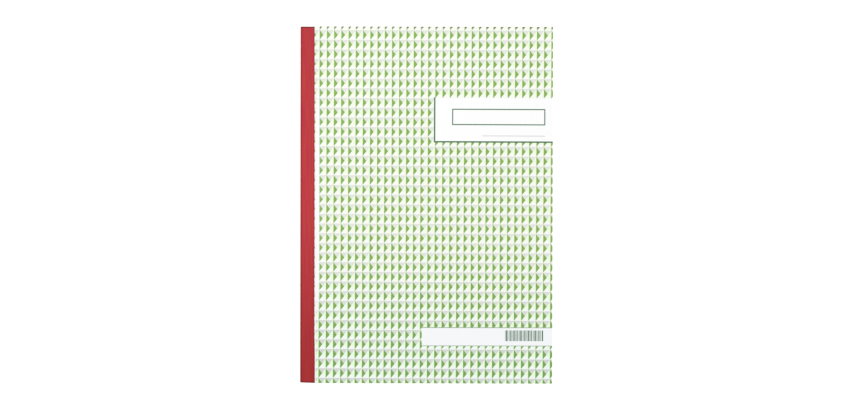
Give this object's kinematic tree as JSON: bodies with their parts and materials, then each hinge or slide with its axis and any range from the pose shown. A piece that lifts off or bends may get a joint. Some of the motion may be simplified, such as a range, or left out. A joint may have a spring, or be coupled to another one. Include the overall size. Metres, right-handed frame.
{
  "type": "carbonless order book",
  "caption": "A4 side-stapled duplicate order book with a cloth-taped spine, card covers, carbonless sheets that turn at the tape, and a loose writing shield.",
  "frame": {"origin": "centre of the bounding box's underside: under the middle of the closed book, on the face it rests on", "axes": "+X from the spine to the fore edge, +Y to the head of the book, +Z out of the front cover"},
  "size_m": [0.21, 0.297, 0.0108],
  "materials": {
    "red_book_cloth": "woven cloth tape, matte",
    "binding_glue": "clear dried glue",
    "steel_wire": "plain wire",
    "printed_cover_card": "green and grey print on white card, satin",
    "white_original_paper": "uncoated white",
    "pink_copy_paper": "uncoated pink",
    "mixed_set_paper": "white and pink sheets in turn",
    "shield_card": "smooth manila card",
    "back_cover_board": "plain grey-white board"
  },
  "bodies": {
    "binding": {"spine_tape": "red_book_cloth", "spine_glue": "binding_glue", "staple_1": "steel_wire", "staple_2": "steel_wire", "front_cover_strip": "printed_cover_card", "original_1_stub": "white_original_paper", "copy_1_stub": "pink_copy_paper", "original_2_stub": "white_original_paper", "copy_2_stub": "pink_copy_paper", "sheet_block_1_stub": "mixed_set_paper", "sheet_block_2_stub": "mixed_set_paper", "sheet_block_3_stub": "mixed_set_paper", "sheet_block_4_stub": "mixed_set_paper", "sheet_block_5_stub": "mixed_set_paper", "sheet_block_6_stub": "mixed_set_paper", "sheet_block_7_stub": "mixed_set_paper", "sheet_block_8_stub": "mixed_set_paper", "sheet_block_9_stub": "mixed_set_paper", "sheet_block_10_stub": "mixed_set_paper", "sheet_block_11_stub": "mixed_set_paper", "sheet_block_12_stub": "mixed_set_paper", "back_cover_strip": "back_cover_board"},
    "front_cover": {"front_cover_leaf": "printed_cover_card"},
    "original_1": {"original_1_leaf": "white_original_paper"},
    "copy_1": {"copy_1_leaf": "pink_copy_paper"},
    "shield": {"writing_shield": "shield_card"},
    "original_2": {"original_2_leaf": "white_original_paper"},
    "copy_2": {"copy_2_leaf": "pink_copy_paper"},
    "sheet_block_1": {"sheet_block_1_leaves": "mixed_set_paper"},
    "sheet_block_2": {"sheet_block_2_leaves": "mixed_set_paper"},
    "sheet_block_3": {"sheet_block_3_leaves": "mixed_set_paper"},
    "sheet_block_4": {"sheet_block_4_leaves": "mixed_set_paper"},
    "sheet_block_5": {"sheet_block_5_leaves": "mixed_set_paper"},
    "sheet_block_6": {"sheet_block_6_leaves": "mixed_set_paper"},
    "sheet_block_7": {"sheet_block_7_leaves": "mixed_set_paper"},
    "sheet_block_8": {"sheet_block_8_leaves": "mixed_set_paper"},
    "sheet_block_9": {"sheet_block_9_leaves": "mixed_set_paper"},
    "sheet_block_10": {"sheet_block_10_leaves": "mixed_set_paper"},
    "sheet_block_11": {"sheet_block_11_leaves": "mixed_set_paper"},
    "sheet_block_12": {"sheet_block_12_leaves": "mixed_set_paper"},
    "back_cover": {"back_cover_leaf": "back_cover_board"}
  },
  "joints": [
    {"name": "back_cover_fold", "type": "hinge", "parent": "binding", "child": "back_cover", "pos_m": [-0.0934, 0, -0.00005], "axis": [0, 1, 0], "range_deg": [0, 180]},
    {"name": "sheet_block_12_turn", "type": "hinge", "parent": "binding", "child": "sheet_block_12", "pos_m": [-0.0934, 0, 0.01082], "axis": [0, -1, 0], "range_deg": [0, 180]},
    {"name": "sheet_block_11_turn", "type": "hinge", "parent": "sheet_block_12", "child": "sheet_block_11", "pos_m": [-0.0934, 0, 0.01082], "axis": [0, -1, 0], "range_deg": [0, 180]},
    {"name": "sheet_block_10_turn", "type": "hinge", "parent": "sheet_block_11", "child": "sheet_block_10", "pos_m": [-0.0934, 0, 0.01082], "axis": [0, -1, 0], "range_deg": [0, 180]},
    {"name": "sheet_block_9_turn", "type": "hinge", "parent": "sheet_block_10", "child": "sheet_block_9", "pos_m": [-0.0934, 0, 0.01082], "axis": [0, -1, 0], "range_deg": [0, 180]},
    {"name": "sheet_block_8_turn", "type": "hinge", "parent": "sheet_block_9", "child": "sheet_block_8", "pos_m": [-0.0934, 0, 0.01082], "axis": [0, -1, 0], "range_deg": [0, 180]},
    {"name": "sheet_block_7_turn", "type": "hinge", "parent": "sheet_block_8", "child": "sheet_block_7", "pos_m": [-0.0934, 0, 0.01082], "axis": [0, -1, 0], "range_deg": [0, 180]},
    {"name": "sheet_block_6_turn", "type": "hinge", "parent": "sheet_block_7", "child": "sheet_block_6", "pos_m": [-0.0934, 0, 0.01082], "axis": [0, -1, 0], "range_deg": [0, 180]},
    {"name": "sheet_block_5_turn", "type": "hinge", "parent": "sheet_block_6", "child": "sheet_block_5", "pos_m": [-0.0934, 0, 0.01082], "axis": [0, -1, 0], "range_deg": [0, 180]},
    {"name": "sheet_block_4_turn", "type": "hinge", "parent": "sheet_block_5", "child": "sheet_block_4", "pos_m": [-0.0934, 0, 0.01082], "axis": [0, -1, 0], "range_deg": [0, 180]},
    {"name": "sheet_block_3_turn", "type": "hinge", "parent": "sheet_block_4", "child": "sheet_block_3", "pos_m": [-0.0934, 0, 0.01082], "axis": [0, -1, 0], "range_deg": [0, 180]},
    {"name": "sheet_block_2_turn", "type": "hinge", "parent": "sheet_block_3", "child": "sheet_block_2", "pos_m": [-0.0934, 0, 0.01082], "axis": [0, -1, 0], "range_deg": [0, 180]},
    {"name": "sheet_block_1_turn", "type": "hinge", "parent": "sheet_block_2", "child": "sheet_block_1", "pos_m": [-0.0934, 0, 0.01082], "axis": [0, -1, 0], "range_deg": [0, 180]},
    {"name": "copy_2_turn", "type": "hinge", "parent": "sheet_block_1", "child": "copy_2", "pos_m": [-0.0934, 0, 0.01082], "axis": [0, -1, 0], "range_deg": [0, 180]},
    {"name": "original_2_turn", "type": "hinge", "parent": "copy_2", "child": "original_2", "pos_m": [-0.0934, 0, 0.01082], "axis": [0, -1, 0], "range_deg": [0, 180]},
    {"name": "shield_slide", "type": "slide", "parent": "original_2", "child": "shield", "axis": [1, 0, 0], "range_m": [0, 0.185]},
    {"name": "copy_1_turn", "type": "hinge", "parent": "original_2", "child": "copy_1", "pos_m": [-0.0934, 0, 0.01082], "axis": [0, -1, 0], "range_deg": [0, 180]},
    {"name": "original_1_turn", "type": "hinge", "parent": "copy_1", "child": "original_1", "pos_m": [-0.0934, 0, 0.01082], "axis": [0, -1, 0], "range_deg": [0, 180]},
    {"name": "front_cover_turn", "type": "hinge", "parent": "original_1", "child": "front_cover", "pos_m": [-0.0934, 0, 0.01082], "axis": [0, -1, 0], "range_deg": [0, 180]}
  ]
}
